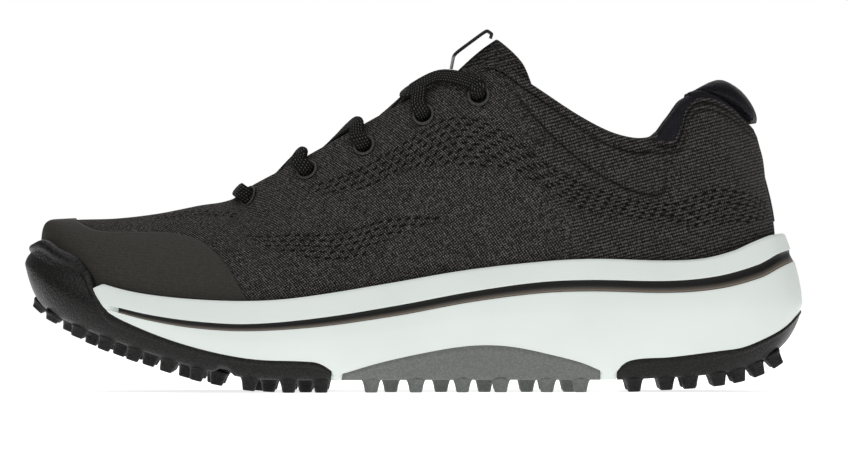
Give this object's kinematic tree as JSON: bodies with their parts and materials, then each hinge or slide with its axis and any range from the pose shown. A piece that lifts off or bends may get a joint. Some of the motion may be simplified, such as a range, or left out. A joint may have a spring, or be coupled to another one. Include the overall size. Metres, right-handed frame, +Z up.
{
  "type": "golf shoe",
  "caption": "Spikeless golf shoe: knitted lace-up upper, padded collar and tongue, cushioned midsole and a sectioned outsole with moulded studs.",
  "frame": {"origin": "on the ground, at the centre of the shoe's bounding box in X and Y", "axes": "+X from the toe to the heel, +Y to the outer side of this right shoe, +Z up"},
  "size_m": [0.2797, 0.1026, 0.1303],
  "materials": {
    "knit": "matte engineered knit",
    "lining": "smooth textile",
    "pillow_cloth": "glossy stretch cloth",
    "lace": "flat braid",
    "ribbon": "woven ribbon",
    "film": "fused film",
    "eyelet": "satin",
    "foam": "open-cell foam",
    "board": "fibre board",
    "midsole": "moulded foam",
    "inlay": "painted channel",
    "outsole": "grained rubber",
    "plate": "grained thermoplastic"
  },
  "bodies": {
    "shoe": {"knit_forefoot": "knit", "knit_heel": "knit", "toe_guard": "film", "toe_puff": "board", "heel_counter": "board", "eyestay_medial": "board", "eyestay_lateral": "board", "eyelets_medial": "eyelet", "eyelets_lateral": "eyelet", "collar_foam": "foam", "lining": "lining", "collar_binding": "knit", "heel_pillow": "pillow_cloth", "back_seam_tape": "film", "lace": "lace", "aglets": "eyelet", "strobel_board": "board", "midsole": "midsole", "channel_inlay": "inlay", "forefoot_outsole": "outsole", "midfoot_outsole": "plate", "heel_outsole": "outsole"},
    "tongue": {"tongue_face": "knit", "tongue_foam": "foam", "tongue_lining": "lining", "lace_keeper": "ribbon"},
    "footbed": {"footbed": "foam", "footbed_cover": "lining"}
  },
  "joints": [
    {"name": "tongue_swing", "type": "hinge", "parent": "shoe", "child": "tongue", "pos_m": [-0.06, -0.003, 0.065], "axis": [0, 1, 0], "range_deg": [0, 10]},
    {"name": "footbed_lift", "type": "hinge", "parent": "shoe", "child": "footbed", "pos_m": [-0.126, -0.006, 0.045], "axis": [0, -1, 0], "range_deg": [0, 4]}
  ]
}
